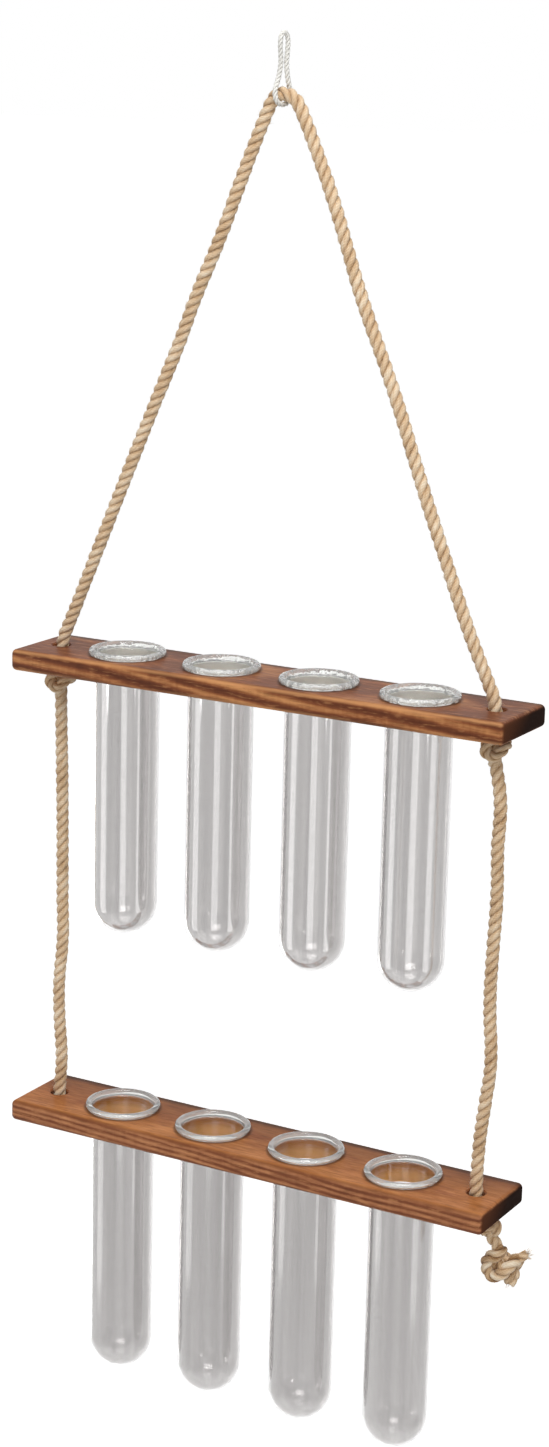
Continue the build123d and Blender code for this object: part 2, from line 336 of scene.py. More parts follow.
def wood(name, node, tones, edge_tone, edge_share, top_shading_tones, top_shading_share, rear_share, hole_light_and_shade_tones, offset,
         ring_scale, ring_share, drift):
    """Oiled brown wood: flat-sawn rings, fibres along X, dark end grain with painted shade across the end
    faces, amber edges that are partly wear and partly painted highlight, painted shading by face on the
    tops, a painted shadow line round the rims and painted light and shade inside the tube holes.
    """
    low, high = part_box(node)
    middle_z = (low.z + high.z) / 2
    half_height = (high.z - low.z) / 2
    graph = Graph(name)
    coords = graph.node("TexCoord")
    place = coords.outputs["Object"]
    x, y, z = graph.split(place)
    facing_x, facing_y, facing_z = graph.split(coords.outputs["Normal"])
    upward = graph.smooth(facing_z, *FACING)
    from_front = graph.math("ABSOLUTE", y)
    above_middle = graph.math("SUBTRACT", z, middle_z)
    layers = {}
    for layer, (scale, detail, roughness) in WOOD_LAYERS.items():
        layers[layer] = graph.noise(graph.stretched(place, scale, offset), 1.0, detail, roughness)
    fibres, pores, cloud = layers["fibres"], layers["pores"], layers["cloud"]
    rings = growth_rings(graph, place, x, layers["warp"], middle_z, ring_scale, drift)

    # Grain of the sides; the cloudier top in tones of its own, partly its flat-sawn face and partly
    # painted shading by face; flecks and pores
    grain = graph.total((graph.math("SUBTRACT", rings, 0.5), ring_share), (fibres, 0.40), (cloud, 0.40),
                        (layers["figure"], 0.20))
    colour = graph.ramp(grain, tones)
    top_shading_colour = graph.ramp(cloud, list(zip(TOP_CLOUD, top_shading_tones)))
    colour = graph.laid(colour, top_shading_colour, upward, top_shading_share)
    for layer, start, full, share, tone in WOOD_SPOTS:
        colour = graph.laid(colour, tone, graph.smooth(layers[layer], start, full), share)

    # The darker rear of the top; the long edges in a tone of their own, on the upper bar a lighter amber
    # that is partly wear and partly painted highlight of the eased edges, on the lower bar a darker
    # brown; and the dark back edge
    colour = graph.laid(colour, REAR_TONE, graph.smooth(y, *REAR_FADE), upward, rear_share)
    along_y = graph.near(from_front, high.y, EDGE_WEAR_AND_HIGHLIGHT)
    along_z = graph.near(graph.math("ABSOLUTE", above_middle), half_height, EDGE_WEAR_AND_HIGHLIGHT)
    colour = graph.laid(colour, (*edge_tone, 1.0), along_y, along_z, graph.smooth(cloud, *EDGE_WEAR_AND_HIGHLIGHT_CLOUD),
                        edge_share)
    not_hidden = graph.math("SUBTRACT", 1.0, graph.smooth(facing_y, *FACING))
    colour = graph.laid(colour, DARK_FLECK_AND_SHADOW, graph.near(y, high.y, DARK_BACK), not_hidden,
                        DARK_BACK_SHARE)

    # Painted shadow: a dark line round the foot of each rim on the bar's top; and the tone inside the
    # tube holes
    away, within = from_tube_axes(graph, x, from_front)
    colour = graph.laid(colour, DARK_FLECK_AND_SHADOW, graph.smooth(away, RIM_SHADOW_OUTSIDE, RIM_SHADOW_INSIDE), within, upward,
                        RIM_SHADOW_SHARE)
    # Inside the tube holes the wall's tones are painted light and shade, not the wood's own: on the lower
    # bar a bright amber lifted against the shade of the glass, darkened near the top as painted shadow
    # under the rim; on the upper bar a whitish painted highlight in place of the glass's bright mouth
    wall = graph.mix(graph.near(z, high.z, HOLE_RIM_SHADOW), (*hole_light_and_shade_tones[0], 1.0), (*hole_light_and_shade_tones[1], 1.0))
    inside = graph.math("LESS_THAN", away, HOLE_RADIUS + HOLE_SLACK)
    colour = graph.laid(colour, wall, inside, within, HOLE_SHARE)

    # Dark end grain, with painted shade that deepens from the front and top of each end face towards its
    # rear and bottom
    end = graph.times(graph.smooth(graph.math("ABSOLUTE", facing_x), *END_FACING),
                      graph.near(graph.math("ABSOLUTE", x), high.x, END_SKIN))
    end_shade = graph.smooth(graph.math("SUBTRACT", y, above_middle), low.y - END_FADE_BEFORE,
                            END_FADE_AFTER)
    colour = graph.mix(end, colour, graph.mix(end_shade, END_FRONT_TONE, END_SHADE_TONE))

    rough = graph.math("ADD", graph.times(fibres, 0.22), 0.33)
    rough = graph.math("ADD", rough, graph.times(end, 0.45))
    coat = graph.times(graph.math("SUBTRACT", 1.0, end), 0.04)
    graph.set(Base_Color=colour, Roughness=rough, Coat_Weight=coat, Coat_Roughness=0.2,
              Specular_IOR_Level=0.06)
    graph.bump(graph.total((fibres, 0.6), (pores, 0.3), (rings, 0.12)), 0.2, WOOD_RELIEF)
    return graph.material


def cord_fibres(graph, scale, detail, roughness, share):
    """Fine lines along a cord's yarns, and the strands' tones with a share of them."""
    tone = graph.node("Attribute", {"attribute_name": "tone"}).outputs["Fac"]
    line = graph.node("UVMap", {"uv_map": "fibre"}).outputs["UV"]
    fibres = graph.noise(graph.stretched(line, scale), 1.0, detail, roughness)
    level = graph.math("ADD", tone, graph.times(graph.math("SUBTRACT", fibres, 0.5), share))
    return fibres, level


def jute(name):
    """Twisted plant fibre: crowns paled by painted highlight, grooves browned by painted shade, fine
    fibre lines along each yarn.
    """
    graph = Graph(name)
    fibres, level = cord_fibres(graph, (1.1, 26.0, 1.0), 4.0, 0.65, 0.75)
    patches = graph.noise(graph.node("TexCoord").outputs["Object"], 160.0, 3.0)
    level = graph.math("ADD", level, graph.times(graph.math("SUBTRACT", patches, 0.5), 0.5))
    graph.set(Base_Color=graph.ramp(level, JUTE_TONES), Roughness=0.86, Specular_IOR_Level=0.25,
              Sheen_Weight=0.25, Sheen_Roughness=0.5)
    graph.bump(fibres, 0.5, 0.3 * MM)
    return graph.material


def white_cord(name):
    """Thin twisted cotton cord, with the same painted highlight on its crowns and painted shade in its
    grooves.
    """
    graph = Graph(name)
    fibres, level = cord_fibres(graph, (3.0, 12.0, 1.0), 3.0, 0.55, 0.4)
    graph.set(Base_Color=graph.ramp(level, COTTON_TONES), Roughness=0.7, Specular_IOR_Level=0.3,
              Sheen_Weight=0.15)
    graph.bump(fibres, 0.3, 0.2 * MM)
    return graph.material


def glass(name, dome_z, deep, pale, shine, dent_share):
    """Thin laboratory glass: a bore greyed by painted shade that stands in for a darker surround seen
    through it, a clear outside and mouth, a milky dented rim.
    """
    graph = Graph(name)
    part = graph.node("Attribute", {"attribute_name": "part"}).outputs["Fac"]
    outer = graph.smooth(part, 0.0, PART_OUTSIDE)
    bare = graph.smooth(part, PART_OUTSIDE, PART_MOUTH)
    rim = graph.smooth(part, PART_MOUTH, PART_RIM)
    place = graph.node("TexCoord").outputs["Object"]
    draw = graph.smooth(graph.noise(graph.stretched(place, DRAW_STRETCH), 1.0, 2.0), 0.25, 0.75)
    body = graph.mix(draw, (*deep, 1.0), (*pale, 1.0))
    colour = graph.mix(outer, body, OUTSIDE_TINT)
    colour = graph.mix(bare, colour, MOUTH_TINT)
    clear = graph.math("SUBTRACT", 1.0, graph.times(rim, RIM_MILK_SHARE))
    rough = graph.math("ADD", graph.times(draw, 0.04), 0.06)
    height = graph.split(place)[2]
    dome = graph.smooth(height, dome_z + DOME_FADE, dome_z - DOME_FADE)
    gloss = graph.math("ADD", graph.times(dome, 1.0 - shine), shine)
    graph.set(Base_Color=colour, Roughness=rough, Transmission_Weight=clear, IOR=1.47,
              Coat_Weight=graph.times(gloss, graph.math("SUBTRACT", 1.0, outer)),
              Coat_Roughness=0.05, Coat_IOR=1.8)
    dents = graph.math("SUBTRACT", graph.noise(place, DENT_SCALE, 1.0), 0.5)
    graph.bump(graph.times(dents, rim), dent_share, DENT_DEPTH)
    return graph.material


class Shape:
    """Vertices, faces, corner UVs and vertex tones gathered for one mesh."""

    def __init__(self):
        self.points = []
        self.faces = []
        self.corners = []
        self.tones = []

    def add(self, points, faces, corners, tones):
        start = len(self.points)
        self.points.extend(map(tuple, points))
        self.faces.extend(tuple(start + index for index in face) for face in faces)
        self.corners.extend(corners)
        self.tones.extend(tones)

    def mesh(self, name, material, tone_name="tone"):
        made = bpy.data.meshes.new(name)
        made.from_pydata(self.points, [], self.faces)
        layer = made.uv_layers.new(name="fibre")
        layer.uv.foreach_set("vector", np.array(self.corners, np.float32).ravel())
        tone = made.attributes.new(tone_name, "FLOAT", "POINT")
        tone.data.foreach_set("value", np.array(self.tones, np.float32))
        made.polygons.foreach_set("use_smooth", [True] * len(made.polygons))
        made.materials.append(material)
        made.update()
        piece = bpy.data.objects.new(name, made)
        bpy.context.scene.collection.objects.link(piece)
        return piece


def line_of(route):
    """Points of the smooth order-3 NURBS line that a route's points control."""
    curve = bpy.data.curves.new("route", "CURVE")
    curve.dimensions = "3D"
    curve.resolution_u = ROUTE_RESOLUTION
    spline = curve.splines.new("NURBS")
    spline.points.add(len(route) - 1)
    for point, place in zip(spline.points, route):
        point.co = (*place, 1.0)
    spline.order_u = 3
    spline.use_endpoint_u = True
    carrier = bpy.data.objects.new("route", curve)
    bpy.context.scene.collection.objects.link(carrier)
    read = bpy.data.meshes.new_from_object(carrier)
    points = np.array([vertex.co for vertex in read.vertices], float)
    bpy.data.objects.remove(carrier)
    bpy.data.curves.remove(curve)
    bpy.data.meshes.remove(read)
    return points


def runs_along(points):
    """The distance along a line at each of its points."""
    return np.concatenate([[0.0], np.cumsum(np.linalg.norm(np.diff(points, axis=0), axis=1))])


def evenly(points, step):
    """The same line with its points at even distances, and those distances."""
    runs = np.linalg.norm(np.diff(points, axis=0), axis=1)
    points = points[np.concatenate([[True], runs > SAME_POINT])]
    along = runs_along(points)
    count = max(4, round(along[-1] / step) + 1)
    places = np.linspace(0.0, along[-1], count)
    return np.stack([np.interp(places, along, points[:, axis]) for axis in range(3)], 1), places


def unit(vectors):
    return vectors / np.linalg.norm(vectors, axis=-1, keepdims=True)


def frames(points, first_normal):
    """Tangents and two steady cross directions at each point of a line."""
    tangents = unit(np.gradient(points, axis=0))
    normals = np.zeros_like(points)
    normal = np.array(first_normal, float)
    for index, tangent in enumerate(tangents):
        normal = normal - tangent * np.dot(normal, tangent)
        normal = normal / np.linalg.norm(normal)
        normals[index] = normal
    return tangents, normals, np.cross(tangents, normals)


def tube(shape, points, sides, radii, normals, tones, turn_shares):
    """A closed tube along points; radii and tones are one row per ring, one value per side."""
    tangents = unit(np.gradient(points, axis=0))
    across = unit(np.cross(tangents, normals))
    outward = np.cross(across, tangents)
    angles = 2 * math.pi * np.arange(sides) / sides + math.pi
    rings = (points[:, None, :]
             + radii[:, :, None] * (np.cos(angles)[None, :, None] * outward[:, None, :]
                                    + np.sin(angles)[None, :, None] * across[:, None, :]))
    count = len(points)
    faces = []
    corners = []
    steps = runs_along(points) * UV_PER_METRE
    for ring in range(count - 1):
        for side in range(sides):
            following = (side + 1) % sides
            faces.append((ring * sides + side, ring * sides + following,
                          (ring + 1) * sides + following, (ring + 1) * sides + side))
            left, right = side / sides, (side + 1) / sides
            here, there = turn_shares[ring], turn_shares[ring + 1]
            corners += [(steps[ring], left + here), (steps[ring], right + here),
                        (steps[ring + 1], right + there), (steps[ring + 1], left + there)]
    faces.append(tuple(reversed(range(sides))))
    faces.append(tuple((count - 1) * sides + side for side in range(sides)))
    corners += [(0.0, 0.0)] * (2 * sides)
    shape.add(rings.reshape(-1, 3), faces, corners, tones.ravel())


def fibre(shape, start, direction, sag, length, radius, tone):
    """One loose hair of fibre: a thin closed spike of three sides, bent once."""
    direction = unit(direction)
    side = unit(np.cross(direction, sag))
    other = np.cross(direction, side)
    middle = start + direction * length * HAIR_BEND_SHARE
    tip = start + direction * length + sag * length * HAIR_TIP_SAG_SHARE
    ring = [math.cos(turn) * side + math.sin(turn) * other for turn in HAIR_CORNERS]
    points = [start + radius * out for out in ring]
    points += [middle + HAIR_BEND_RADIUS_SHARE * radius * out for out in ring]
    points.append(tip)
    faces = [(2, 1, 0)]
    for index in range(3):
        following = (index + 1) % 3
        faces.append((index, following, 3 + following, 3 + index))
        faces.append((3 + index, 3 + following, 6))
    shape.add(points, faces, [HAIR_UV] * sum(map(len, faces)), [tone] * len(points))


def loose_hairs(shape, dice, count, tangents, outs, centres, radius, hair_length):
    """Loose hairs that stand off the strands of a rope."""
    for _ in range(count):
        strand = dice.randrange(STRANDS)
        index = dice.randrange(len(tangents))
        lean = dice.uniform(-HAIR_LEAN, HAIR_LEAN)
        out = outs[strand][index]
        sideways = np.cross(tangents[index], out)
        away = math.cos(lean) * out + math.sin(lean) * sideways
        start = centres[strand][index] + HAIR_ROOT_SHARE * STRAND_SHARE * radius * away
        along = dice.choice((-1, 1)) * dice.uniform(*HAIR_ALONG_SHARES)
        direction = away * dice.uniform(*HAIR_OUT_SHARES) + along * tangents[index]
        sag = away * dice.uniform(*HAIR_SAG_SHARES)
        sag = sag + np.array([dice.uniform(*shares) for shares in HAIR_DRIFT_SHARES])
        reach_share = LONG_REACH_SHARE if dice.random() < LONG_HAIR_SHARE else USUAL_REACH_SHARE
        fibre(shape, start, direction, sag, reach_share * hair_length * dice.uniform(*HAIR_LENGTH_SHARES),
              dice.uniform(*HAIR_RADII_MM) * MM, dice.uniform(*HAIR_TONES))


def twisted(shape, points, places, radius, dice, turn=0.0, pitch=LAY_PITCH, sides=STRAND_SIDES,
            normal=(0.0, 1.0, 0.0), hairs_per_mm=9.0, hair_length=2.4 * MM, tone_shift=0.0,
            end_share=1.0, blotch_share=0.07):
    """A laid rope along a line: strands, their yarns, and loose hairs. Gives the turn at its end."""
    tangents, normals, across = frames(points, normal)
    swell = 1 + (end_share - 1) * (places / places[-1])
    around = 2 * math.pi * np.arange(sides) / sides + math.pi
    facing = np.cos(around)[None, :]
    outs = []
    centres = []
    for strand in range(STRANDS):
        angles = turn + 2 * math.pi * (places / pitch + strand / STRANDS)
        out = np.cos(angles)[:, None] * normals + np.sin(angles)[:, None] * across
        centre = points + (OFFSET_SHARE * radius * swell)[:, None] * out
        wander = 1 + WANDER_SHARE * np.sin(places / WANDER_LENGTH + strand * WANDER_PHASE
                                           + dice.uniform(0, PHASE_MOST))
        yarn_turn = places / YARN_PITCH + strand * YARN_PHASE
        lobes = np.cos(YARNS * (around[None, :] + 2 * math.pi * yarn_turn[:, None]))
        radii = STRAND_SHARE * radius * (wander * swell)[:, None] * (1 + YARN_DEPTH_SHARE * lobes)
        # Painted light and shade: crowns lighter and grooves darker, yarn crests lighter and the hollows
        # between them darker, with random blotches
        tones = TONE_MIDDLE + tone_shift + CROWN_HIGHLIGHT_GROOVE_SHADE_SHARE * facing + YARN_HIGHLIGHT_HOLLOW_SHADE_SHARE * lobes
        blotches = np.sin(places / BLOTCH_LENGTH + strand * BLOTCH_PHASE + dice.uniform(0, PHASE_MOST))
        tones = tones + blotch_share * blotches[:, None]
        tube(shape, centre, sides, radii, out, tones, yarn_turn)
        outs.append(out)
        centres.append(centre)
    hairs = int(places[-1] / MM * hairs_per_mm)
    loose_hairs(shape, dice, hairs, tangents, outs, centres, radius, hair_length)
    return turn + 2 * math.pi * places[-1] / pitch


def in_metres(route):
    return [tuple(value * MM for value in place) for place in route]


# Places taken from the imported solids
right_low, right_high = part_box("rope_right_drop")
rope_x = (right_low.x + right_high.x) / 2
upper_knot_low, upper_knot_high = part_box("upper_right_knot")
upper_knot_z = (upper_knot_low.z + upper_knot_high.z) / 2

# The rope over the loop, from the left hole to the right one, in millimetres
UPPER_ROUTE = [
    (-111.5, 0.0, -288.5), (-111.5, 0.0, -275.0), (-106.5, 0.0, -264.6), (-79.2, 0.0, -200.0),
    (-62.0, 0.2, -160.0), (-48.6, 0.3, -130.0), (-41.9, 0.1, -112.0), (-29.0, -0.2, -85.0),
    (-19.8, 0.0, -60.5), (-5.95, 0.0, -27.45), (-2.46, 0.0, -24.01),
    (2.46, 0.0, -24.01), (7.0, 0.0, -26.4), (11.9, 0.0, -36.0), (23.5, 0.0, -61.5),
    (30.6, 0.0, -80.0), (40.3, 0.3, -108.0), (57.3, 0.2, -145.0), (71.4, -0.3, -182.0),
    (84.7, -0.2, -215.0), (96.9, 0.0, -245.0), (106.6, 0.0, -264.6), (111.5, 0.0, -275.0),
    (111.5, 0.0, -288.5),
]
# The two drops, from the upper knots to the lower bar, and the white loop, in millimetres
LEFT_DROP_ROUTE = [
    (-111.5, 0.0, -297.5), (-111.5, 0.2, -312.0), (-110.9, 0.4, -340.0), (-110.6, 0.5, -372.0),
    (-110.4, 0.2, -400.0), (-109.3, -0.4, -419.0), (-111.8, -0.5, -440.0), (-111.7, -0.2, -458.0),
    (-110.0, 0.2, -480.0), (-111.2, 0.1, -491.0), (-111.5, 0.0, -499.5),
]
RIGHT_DROP_ROUTE = [
    (111.5, 0.0, -297.5), (113.2, -0.2, -305.0), (115.8, -0.4, -318.0), (114.4, 0.0, -338.0),
    (115.4, 0.5, -358.0), (114.2, 0.4, -385.0), (114.0, -0.2, -410.0), (116.6, -0.4, -434.0),
    (114.4, 0.0, -452.0), (112.2, 0.4, -468.0), (111.4, 0.2, -484.0), (111.5, 0.0, -499.5),
]
LOOP_ROUTE = [
    (0.0, 0.0, -28.5), (-0.2, -2.6, -28.5), (-0.8, -4.9, -26.4), (-1.4, -4.8, -22.6),
    (-0.8, -2.6, -17.5), (-0.3, -1.6, -11.0), (-0.6, -2.3, -4.5), (-0.3, -2.6, -0.8),
    (0.0, -1.2, 1.2), (0.0, 1.2, 1.2), (0.3, 2.6, -0.8), (0.6, 2.3, -4.5),
    (0.3, 1.6, -11.0), (0.6, 2.4, -17.5), (0.9, 4.5, -22.6), (0.5, 4.8, -26.4),
    (0.2, 2.6, -28.5), (0.0, 0.0, -28.5),
]

make_camera()
jute_material = jute("jute_rope")
cord_material = white_cord("white_cotton_cord")
dice = random.Random(SEED)


def rope_piece(name, route, start_turn=0.0, tone_shift=0.0):
    """A stretch of rope along its route, with its line and its turn at the end."""
    shape = Shape()
    points, places = evenly(line_of(in_metres(route)), RING_STEP)
    turn = twisted(shape, points, places, ROPE_DIAMETER / 2, dice, start_turn, tone_shift=tone_shift)
    piece = shape.mesh(name, jute_material)
    return piece, points, turn


upper_rope, upper_line, _ = rope_piece("upper_rope", UPPER_ROUTE)
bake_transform(upper_rope)
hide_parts("rope_crown", "rope_left_leg", "rope_right_leg")

left_rope, left_line, left_turn = rope_piece("left_drop_rope", LEFT_DROP_ROUTE, 0.4)
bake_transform(left_rope)
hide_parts("rope_left_drop")

right_rope, right_line, right_turn = rope_piece("right_drop_rope", RIGHT_DROP_ROUTE, 1.3, -0.05)
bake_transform(right_rope)
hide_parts("rope_right_drop")

# Knots: one turn to the left, one to the right, a wrap behind, and the rope straight through
KNOT_ROUTE = [
    (0.6, 1.6, 5.6), (-2.2, -1.2, 4.4), (-5.0, -2.0, 2.0), (-4.9, -1.9, -1.9), (-1.6, -3.0, -3.6),
    (1.2, -4.4, -1.0), (3.4, -3.6, 1.6), (5.2, -0.6, 2.0), (4.2, 2.6, 0.4), (0.4, 4.4, -0.8),
    (-3.2, 3.6, -0.4), (-4.2, 0.8, 1.6), (-1.6, -0.6, 1.0), (0.4, 0.0, -3.4), (0.0, 0.0, -7.2),
]
KNOT_RADIUS = 2.55 * MM
KNOT_STEP = 0.6 * MM
KNOT_PITCH = 13 * MM
KNOT_NORMAL = (0.3, 0.2, 1.0)


def knot_shape(shape, place, facing, core_top, core_bottom, route=KNOT_ROUTE, scale=(1.0, 1.0, 1.0)):
    """A tight overhand knot with the rope running through its middle."""
    spin = Matrix.Rotation(math.radians(facing), 4, "Z")
    whole = Matrix.Translation(place) @ spin @ Matrix.Diagonal((*scale, 1.0))
    route = [whole @ Vector([value * MM for value in point]) for point in route]
    points, places = evenly(line_of(route), KNOT_STEP)
    twisted(shape, points, places, KNOT_RADIUS, dice, normal=KNOT_NORMAL, pitch=KNOT_PITCH,
            hairs_per_mm=5.0, hair_length=1.6 * MM, tone_shift=-0.05)
    top = whole @ Vector((0.0, 0.0, core_top))
    bottom = whole @ Vector((0.0, 0.0, core_bottom))
    points, places = evenly(np.array([top, bottom]), RING_STEP)
    twisted(shape, points, places, ROPE_DIAMETER / 2, dice, hairs_per_mm=0.0)


def jute_piece(shape, name, body, *nodes):
    """The finished knot, which rides on a body in place of its CAD nodes."""
    piece = shape.mesh(name, jute_material)
    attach(piece, body)
    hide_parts(*nodes)
    return piece


def upper_knot(name, node, x, facing):
    shape = Shape()
    knot_shape(shape, (x, 0.0, upper_knot_z), facing, 5.8 * MM, -7.4 * MM)
    return jute_piece(shape, name, "upper_knots", node)


left_knot = upper_knot("upper_left_rope_knot", "upper_left_knot", -rope_x, 25)
right_knot = upper_knot("upper_right_rope_knot", "upper_right_knot", rope_x, 40)

# Lower knots, each with the rope in the hole above it
STOPPER_ROUTE = KNOT_ROUTE[:-2] + [(0.2, 1.4, -2.2), (0.6, 3.0, -3.6)]
STOPPER_SCALE = (0.95, 0.95, 0.82)
HOLE_TOP_Z = -499.5 * MM
HOLE_MIDDLE_Z = -506.0 * MM
LEFT_KNOT_PLACE = (-111.5 * MM, 3.5 * MM, -513.0 * MM)
RIGHT_KNOT_PLACE = (116.0 * MM, 3.2 * MM, -513.2 * MM)
LEFT_END = in_metres([(-111.5, 4.0, -513.0), (-111.0, 7.0, -514.6), (-110.0, 10.4, -516.6)])
TAIL_ROUTE = in_metres([(116.0, 2.6, -513.5), (117.6, 3.2, -517.5), (120.6, 4.9, -522.0),
                        (123.4, 6.5, -529.5)])


def lower_knot(name, node, x, knot_place, facing, start_turn, end):
    """A stopper knot with the rope in the bar's hole and the free end that leaves it."""
    shape = Shape()
    knot_shape(shape, knot_place, facing, 4.0 * MM, -3.5 * MM, STOPPER_ROUTE, STOPPER_SCALE)
    stub, places = evenly(line_of([(x, 0.0, HOLE_TOP_Z), (x, 0.0, HOLE_MIDDLE_Z), knot_place]), RING_STEP)
    twisted(shape, stub, places, ROPE_DIAMETER / 2, dice, start_turn, hairs_per_mm=0.5)
    finish, places = evenly(line_of(end), RING_STEP)
    twisted(shape, finish, places, 0.95 * ROPE_DIAMETER / 2, dice, 0.3, normal=(0.4, -0.8, 0.1))
    return jute_piece(shape, name, "lower_tier", node)


lower_left = lower_knot("lower_left_rope_knot", "lower_left_knot", -rope_x, LEFT_KNOT_PLACE, 200,
                        left_turn, LEFT_END)
lower_right = lower_knot("lower_right_rope_knot", "lower_right_knot", rope_x, RIGHT_KNOT_PLACE, 150,
                         right_turn, TAIL_ROUTE)

# The tail's knot is laid out as the camera sees it: to the right, upwards and to the front
VIEW_RIGHT = np.array((0.871, 0.4907, 0.0))
VIEW_UP = np.array((0.0, 0.0, 1.0))
VIEW_FRONT = np.array((0.4907, -0.871, 0.0))
TAIL_PLACE = np.array((124.0, 6.9, -531.2)) * MM
TAIL_SCALE = 1.12
TAIL_KNOT = [(-1.5, 7.0, 0.0), (-3.2, 4.2, 2.6), (-6.8, 3.6, 1.6), (-7.6, -1.4, 0.4), (-5.4, -5.4, 1.2),
             (-1.4, -3.2, 3.8), (2.2, 1.8, 4.0), (5.4, 2.6, 0.4), (4.6, -2.8, -3.4), (-0.6, -3.4, -4.2),
             (-4.4, 0.6, -3.2), (-1.8, 3.8, -1.8), (1.8, 0.4, 0.6), (2.8, -4.4, 1.8), (2.4, -7.8, 0.8)]
TAIL_CORE = [(-4.6, 2.6, 0.4), (-2.6, -0.4, 1.6), (0.0, -1.6, 1.2), (3.0, -2.6, 0.6), (4.2, -5.2, 0.0)]
TAIL_STUB = [(-1.0, 1.4, 1.0), (2.8, 2.2, 1.8), (5.8, 3.2, 1.0), (8.6, 4.0, 0.4)]
# How each of the three is twisted: its route, radius and first turn, and what else differs
TAIL_TWISTS = [
    (TAIL_KNOT, 3.0 * MM, 0.0, {"pitch": KNOT_PITCH, "hairs_per_mm": 16.0, "hair_length": 2.2 * MM,
                                "tone_shift": -0.08, "blotch_share": 0.26}),
    (TAIL_CORE, 3.2 * MM, 1.0, {"pitch": KNOT_PITCH, "hairs_per_mm": 10.0, "hair_length": 2.0 * MM,
                                "tone_shift": -0.18, "blotch_share": 0.26}),
    (TAIL_STUB, 2.6 * MM, 0.0, {"pitch": 18 * MM, "hairs_per_mm": 8.0, "hair_length": 2.0 * MM,
                                "tone_shift": -0.03, "end_share": 0.85}),
]
# Frayed ends: a place before the knot's own end, the hairs at each end, and how they spread
BEFORE_KNOT_END = (2.6, -5.6, 1.2)
STUB_FRAY_COUNT = 90
KNOT_FRAY_COUNT = 50
FRAY_INSIDE = 0.6 * MM
FRAY_WIDTH = 0.9 * MM
FRAY_LEAN_SHARE = 0.35
FRAY_SAG_SHARE = 0.3
FRAY_LENGTHS_MM = (1.0, 2.6)
FRAY_RADII_MM = (0.06, 0.14)
FRAY_TONES = (0.5, 0.95)


def from_view(route):
    return [TAIL_PLACE + TAIL_SCALE * MM * (VIEW_RIGHT * right + VIEW_UP * up + VIEW_FRONT * front)
            for right, up, front in route]


def frayed(shape, tip, before, count):
    """Loose fibres that spread from a cut end."""
    away = unit(tip - before)
    for _ in range(count):
        spread = np.array([dice.gauss(0, 1.0) for _ in range(3)])
        fibre(shape, tip - away * FRAY_INSIDE + FRAY_WIDTH * spread, away + FRAY_LEAN_SHARE * spread,
              FRAY_SAG_SHARE * spread, dice.uniform(*FRAY_LENGTHS_MM) * MM,
              dice.uniform(*FRAY_RADII_MM) * MM, dice.uniform(*FRAY_TONES))


def tail_piece():
    """The knot at the tail's end: a round turn, a bight hanging down and the flared end."""
    shape = Shape()
    for route, radius, turn, look in TAIL_TWISTS:
        points, places = evenly(line_of(from_view(route)), KNOT_STEP)
        twisted(shape, points, places, radius, dice, turn, normal=KNOT_NORMAL, **look)
    frayed(shape, points[-1], points[-4], STUB_FRAY_COUNT)
    before, tip = from_view([BEFORE_KNOT_END, TAIL_KNOT[-1]])
    frayed(shape, tip, before, KNOT_FRAY_COUNT)
    return jute_piece(shape, "tail_rope_knot", "lower_tier", "tail_knot", "rope_tail")


tail = tail_piece()

# The white loop
LOOP_STEP = 0.5 * MM
LOOP_RADIUS = 1.15 * MM
loop_shape = Shape()
loop_line, loop_places = evenly(line_of(in_metres(LOOP_ROUTE)), LOOP_STEP)
twisted(loop_shape, loop_line, loop_places, LOOP_RADIUS, dice, pitch=6.0 * MM, sides=10,
        normal=(1.0, 0.0, 0.0), hairs_per_mm=1.0, hair_length=0.7 * MM, tone_shift=0.2)
loop = loop_shape.mesh("white_loop", cord_material)
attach(loop, "hanger")
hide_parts("hanging_loop")

# Glass tubes
TUBE_RADIUS = 15.0 * MM
TUBE_WALL = 0.7 * MM
RIM_RADIUS = 18.0 * MM
BEAD_RADIUS = 1.5 * MM
TUBE_SEGMENTS = 96
SLEEVE = 7.0 * MM
FADE = 5.0 * MM
SLEEVE_STEP = 1 * MM
DOME_CLEARANCE = 8 * MM
# Rows of the outline along its arcs and straight stretches
OUTER_DOME_ROWS = 22
INNER_DOME_ROWS = 20
BODY_ROWS = 9
FADE_ROWS = 6
OUTER_BEAD_ROWS = 13
INNER_BEAD_ROWS = 8
# The fillet under the rim: millimetres out from the wall, and above the seat
FILLET = [(0.0, -1.2), (0.15, -0.3), (0.6, 0.0)]
# The mouth's flare: share of the way out from the bore, and millimetres below the bead's middle
FLARE = [(0.86, 0.8), (0.62, 1.8), (0.36, 3.2), (0.16, 5.0), (0.04, 7.2)]
# Waves of the rim, which only draw it in: their depth, and where they fade out below it
RIPPLE = 0.10 * MM
RIPPLE_START = 1.0 * MM
RIPPLE_FADE = 1.5 * MM
RIPPLE_PHASE_MOST = 6.28
FINE_RIPPLE_SHARE = 0.6


def arc(centre, radius, first, last, count):
    """Points of a circle arc in the outline's plane, in degrees, both ends included."""
    turns = np.radians(np.linspace(first, last, count))
    return [(centre[0] + radius * math.cos(turn), centre[1] + radius * math.sin(turn)) for turn in turns]


def wall_rows(radius, first_z, last_z, count):
    """Evenly spaced rows of a straight wall."""
    return [(radius, z) for z in np.linspace(first_z, last_z, count)]


